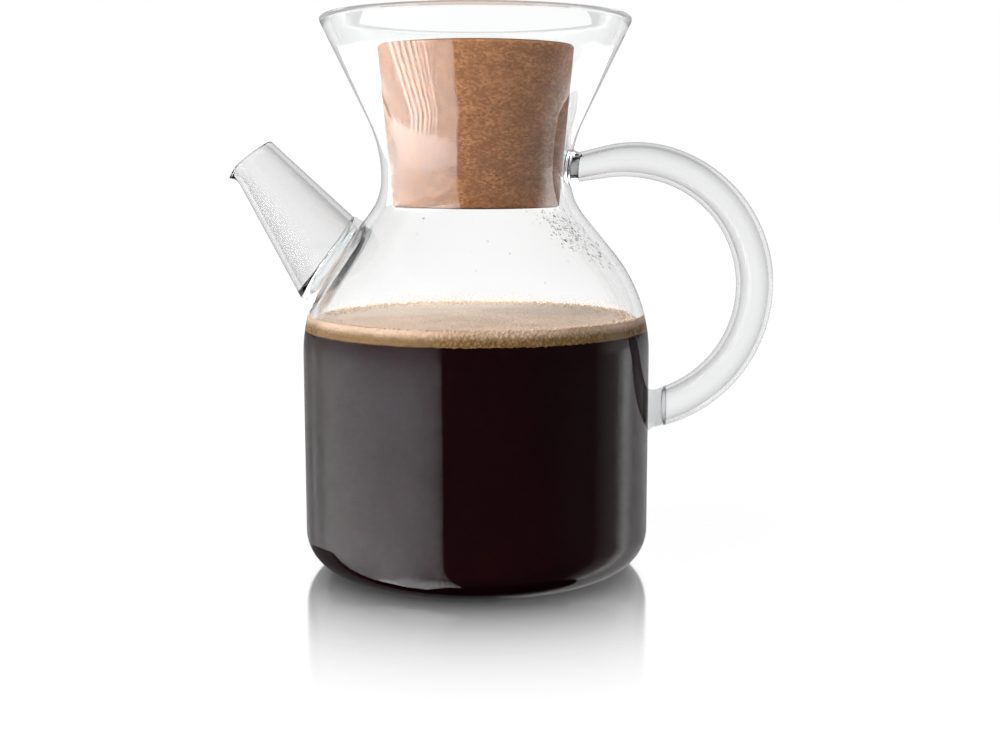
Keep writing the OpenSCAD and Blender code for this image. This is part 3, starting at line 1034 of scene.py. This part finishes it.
class BuildCondensation(bpy.types.Operator):
    """Small drops of condensed steam on the inside of the shoulder"""
    bl_idname = "coffee_maker.condensation"
    bl_label = "Condensation"

    def execute(self, context):
        v = context.scene.maker_vessel
        profile = Profile(v)
        low_z, high_z = 92 * MM, 126 * MM
        side = [p for p in profile.side(v.wall, 0.4 * MM)
                if low_z - 7 * MM < p[1] < high_z + 4 * MM]
        rng = random.Random(7)
        places = []
        # Clusters of drops: azimuth, height and spread in degrees
        clusters = [(math.radians(a), z * MM, spread) for a, z, spread in (
            (-36, 118, 5), (-42, 114, 4), (-33, 110, 5), (-48, 120, 4),
            (-30, 114, 6), (-38, 116, 5), (35, 117, 12))]
        for _ in range(DROPS):
            turn, z, spread = rng.choice(clusters)
            turn += math.radians(rng.gauss(0, spread))
            z += rng.gauss(0, 2.4 * MM)
            if rng.random() < 0.05:
                turn, z = rng.uniform(0, TURN), rng.uniform(0.1, 0.122)
            z = min(high_z, max(low_z, z))
            part = next(k for k in range(len(side) - 1) if side[k + 1][1] > z)
            (x0, z0), (x1, z1) = side[part], side[part + 1]
            x = x0 + (x1 - x0) * (z - z0) / (z1 - z0)
            normal = Vector((-(z1 - z0), 0, x1 - x0)).normalized()
            size = (0.16 + 0.42 * rng.random() ** 3) * MM
            places.append(
                Matrix.Rotation(turn, 4, "Z") @ Matrix.Translation((x, 0, z))
                @ normal.to_track_quat("Z", "Y").to_matrix().to_4x4()
                @ Matrix.Diagonal((size, size * rng.uniform(0.8, 1.25), 0.3 * size, 1)))
        water = glass_material("water_drops", (0.99, 0.99, 0.99), WATER_IOR,
                               (300.0, 0.02), (0.2, 3.0), even(1.0))
        finish_piece(scatter(places), "condensation_drops", "glass", [],
                     water, 80)
        return {"FINISHED"}


# The stage: floor, world, lamps and camera


def floor_material(foot_r):
    """Pale floor, polished round the foot, which keeps shadows."""
    material, n = new_material("pale_floor")
    far = n.add("VectorMath", {0: n.where()}, operation="LENGTH").outputs["Value"]
    wide = n.remap(far, 0.2, 1.6, 0.91, 1.0)
    # The polish falls off with the distance from the foot, to a third at fall_run
    fall_run = 47 * MM
    far = n.highest(n.math("SUBTRACT", far, foot_r), 0.0)
    fall = n.math("POWER", n.math("DIVIDE", far, fall_run), 1.4)
    polish = n.times(n.math("EXPONENT", n.times(fall, -1.0)), 0.985)
    rough = n.remap(n.noise(n.where(), 3.0, 2.0), 0.0, 1.0, 0.1, 0.14)
    body = n.principled((0.12, 0.12, 0.12, 1), 0.6, 0.0)
    glow = n.add("Emission", {"Color": WHITE, "Strength": wide})
    path = n.add("LightPath").outputs
    seen = n.highest(path["Is Camera Ray"], path["Is Transmission Ray"],
                     path["Is Glossy Ray"])
    seen = n.times(seen, n.math("LESS_THAN", path["Diffuse Depth"], 0.5))
    dark = n.add("Emission", {"Color": (0, 0, 0, 1), "Strength": 0.0})
    matt = n.add("AddShader", {0: body.outputs[0], 1: n.blend(seen, dark, glow).outputs[0]})
    mirror = n.add("BsdfAnisotropic", {"Color": WHITE, "Roughness": rough})
    n.surface(n.blend(polish, matt, mirror))
    return material


def white_world(scene):
    """White to the eye, and a room with one bright side to what mirrors it.

    Glass is a sharp mirror and the polished floor a soft one, so the glass
    mirrors the room and the floor mirrors the white horizon."""
    world = bpy.data.worlds.new("studio")
    world.use_nodes = True
    world.node_tree.nodes.clear()
    scene.world = world
    n = Nodes(world.node_tree)
    way = n.add("SeparateXYZ", {"Vector": n.add("TexCoord").outputs["Generated"]})

    def steps(axis, *ends):
        """A smooth step over one axis of the direction."""
        return n.remap(way.outputs[axis], *ends, interpolation_type="SMOOTHSTEP")

    overhead = steps("Z", 0.35, 0.75, 1.0, 0.6)
    behind = steps("Y", 0.38, 0.46, 0.015, 0.48)
    right = steps("X", 0.6, 1.0, 0.0, 0.18)
    level_band = steps("Z", -0.02, 0.0, 0.0, 1.0)
    path = n.add("LightPath").outputs
    mirrored = path["Is Reflection Ray"]
    in_glass = n.times(mirrored, path["Is Singular Ray"])
    on_floor = n.math("SUBTRACT", mirrored, in_glass)
    level = n.times(in_glass, n.highest(behind, right))
    level = n.math("ADD", level, n.times(level_band, on_floor))
    level = n.math("ADD", level, n.times(overhead, path["Is Transmission Ray"]))
    level = n.highest(level, path["Is Camera Ray"])
    lights = n.math("GREATER_THAN", path["Diffuse Depth"], 0.5)
    level = n.times(level, n.math("SUBTRACT", 1.0, lights))
    level = n.math("ADD", level, n.times(lights, 0.12))
    back = n.add("Background", {"Color": WHITE, "Strength": level})
    n.add("OutputWorld", {"Surface": back.outputs[0]})


def bright_wall(name, around, along):
    """Part of a glowing drum wall that only mirrored rays see, round the object.

    around gives its brightness over the azimuth in degrees, 0 in front and
    negative on the left, and along a factor over the height."""
    low, high = along[0][0], along[-1][0]
    bm = bmesh.new()
    bmesh.ops.create_cone(bm, cap_ends=False, segments=128, radius1=DRUM_R,
                          radius2=DRUM_R, depth=high - low)
    bmesh.ops.translate(bm, vec=(0, 0, (low + high) / 2), verts=bm.verts[:])
    material, n = new_material(name)
    turn = n.math("ARCTAN2", n.along("X"), n.times(n.along("Y"), -1.0))
    turn = n.math("DEGREES", turn)
    level = n.times(n.level(turn, around), n.level(n.along("Z"), along))
    there = n.times(n.math("GREATER_THAN", turn, around[0][0]),
                    n.math("LESS_THAN", turn, around[-1][0]))
    glow = n.add("Emission", {"Color": WHITE, "Strength": level})
    n.surface(n.blend(there, n.add("BsdfTransparent", {"Color": WHITE}), glow))
    made = new_object(name, bm)
    made.data.materials.append(material)
    made.visible_camera = made.visible_diffuse = made.visible_shadow = False
    made.visible_transmission = False


def lamp(name, place, size, power):
    """Square soft lamp, turned to the object, that mirrors don't see."""
    data = bpy.data.lights.new(name, "AREA")
    data.shape, data.size, data.energy = "SQUARE", size, power
    made = new_object(name, data)
    made.location = place
    way = Vector((0, 0, 0.1)) - Vector(place)
    made.rotation_euler = way.to_track_quat("-Z", "Y").to_euler()
    made.visible_glossy = made.visible_camera = made.visible_transmission = False


# The studio's drum wall: its radius, and its parts with the two lists that
# bright_wall takes. The edges on the camera's side are shared.
DRUM_R = 0.9
NEAR_EDGE = [(-27, 9.3), (-23.5, 7.9), (-20.5, 0.0)]
HIGH_EDGE = [(-49, 10.0), (-27, 6.6), (-23.5, 6.0), (-20.5, 0.0)]
WALLS = {
    "softbox": (
        [(-175, 2.2), (-140, 2.2), (-134, 4.0), (-130, 4.8), (-126, 4.2), (-122, 4.7),
         (-118, 6.0), (-114, 8.0), (-110, 9.5), (-100, 12.4), (-81, 14.7),
         (-49, 14.0)] + NEAR_EDGE,
        [(-0.28, 1.0), (0.06, 1.0)]),
    "softbox_top": (
        [(-129, 6.0), (-108, 10.0), (-81, 10.8)] + HIGH_EDGE,
        [(0.06, 1.0), (0.5, 1.0)]),
    "softbox_high": (
        [(-120, 0.0), (-112, 11.0)] + HIGH_EDGE,
        [(0.5, 1.0), (0.85, 1.0)]),
    "softbox_crown": (
        [(-110, 0.0), (-102, 11.0)] + HIGH_EDGE,
        [(0.85, 1.0), (1.2, 1.0), (1.4, 0.0)]),
    "softbox_low": (
        [(-109, 0.0), (-105, 15.5), (-81, 15.5), (-60, 14.2), (-49, 13.6)] + NEAR_EDGE,
        [(-3.0, 1.0), (-0.28, 1.0)]),
    "side_strip": (
        [(78, 0.0), (84, 0.7), (94, 1.4), (101, 2.0), (103, 3.5), (107, 5.8),
         (111, 8.8), (115, 7.4), (119, 4.9), (124, 3.4), (129, 3.2), (134, 2.7),
         (146, 2.5), (160, 2.2), (175, 1.8)],
        [(-1.2, 1.0), (0.06, 1.0)]),
    "side_card": (
        [(80, 0.0), (88, 2.0), (96, 4.0), (110, 4.5), (129, 3.0)],
        [(0.06, 1.0), (1.0, 1.0)])}
# The lamps: name, place, size in metres and power in watts
LAMPS = [("left_lamp", (-0.95, -0.6, 0.75), 0.9, 23),
         ("top_lamp", (0.0, -0.1, 1.4), 1.2, 11),
         ("right_lamp", (1.0, -0.35, 0.5), 0.6, 4.5)]


class BuildStage(bpy.types.Operator):
    """Pale floor, white surroundings, soft lamps and the camera"""
    bl_idname = "coffee_maker.stage"
    bl_label = "Stage"

    def execute(self, context):
        scene = context.scene
        scene.view_settings.view_transform = "Standard"
        white_world(scene)
        bm = bmesh.new()
        bmesh.ops.create_grid(bm, x_segments=1, y_segments=1, size=30)
        floor = new_object("floor", bm)
        foot = scene.maker_vessel.body_r - scene.maker_vessel.foot_r
        floor.data.materials.append(floor_material(foot))
        floor.visible_glossy = False
        for name, (around, along) in WALLS.items():
            bright_wall(name, around, along)
        for name, place, size, power in LAMPS:
            lamp(name, place, size, power)

        # The photograph's view, fitted to points on the object's outline
        data = bpy.data.cameras.new("camera")
        data.lens, data.sensor_width = 52.85, 36
        data.clip_start, data.clip_end = 0.01, 100
        camera = new_object("camera", data)
        camera.location = (0, -0.5097, 0.1389)
        camera.rotation_euler = (math.radians(81.94), 0, math.radians(-0.926))
        scene.camera = camera
        return {"FINISHED"}


class MakerPanel(bpy.types.Panel):
    """Lists what builds the coffee maker"""
    bl_label = "Coffee maker"
    bl_idname = "VIEW3D_PT_coffee_maker"
    bl_space_type = "VIEW_3D"
    bl_region_type = "UI"
    bl_category = "Coffee maker"

    def draw(self, context):
        for operator in OPERATORS:
            self.layout.operator(operator.bl_idname)


GROUPS = {"maker_vessel": VesselSizes, "maker_spout": SpoutSizes,
          "maker_handle": HandleSizes, "maker_stopper": StopperSizes,
          "maker_filling": FillingSizes}
OPERATORS = (BuildVessel, BuildSpout, BuildHandle, BuildStopper, BuildCoffee,
             BuildFoam, BuildCondensation, BuildStage)
CLASSES = (*GROUPS.values(), *OPERATORS, MakerPanel)


def register():
    for cls in CLASSES:
        bpy.utils.register_class(cls)
    for name, group in GROUPS.items():
        setattr(bpy.types.Scene, name, bpy.props.PointerProperty(type=group))


def unregister():
    for name in GROUPS:
        delattr(bpy.types.Scene, name)
    for cls in reversed(CLASSES):
        bpy.utils.unregister_class(cls)


def main():
    register()
    bpy.ops.coffee_maker.vessel()
    bpy.ops.coffee_maker.spout()
    bpy.ops.coffee_maker.handle()
    bpy.ops.coffee_maker.stopper()
    bpy.ops.coffee_maker.coffee()
    bpy.ops.coffee_maker.foam()
    bpy.ops.coffee_maker.condensation()
    bpy.ops.coffee_maker.stage()


if __name__ == "__main__":
    main()
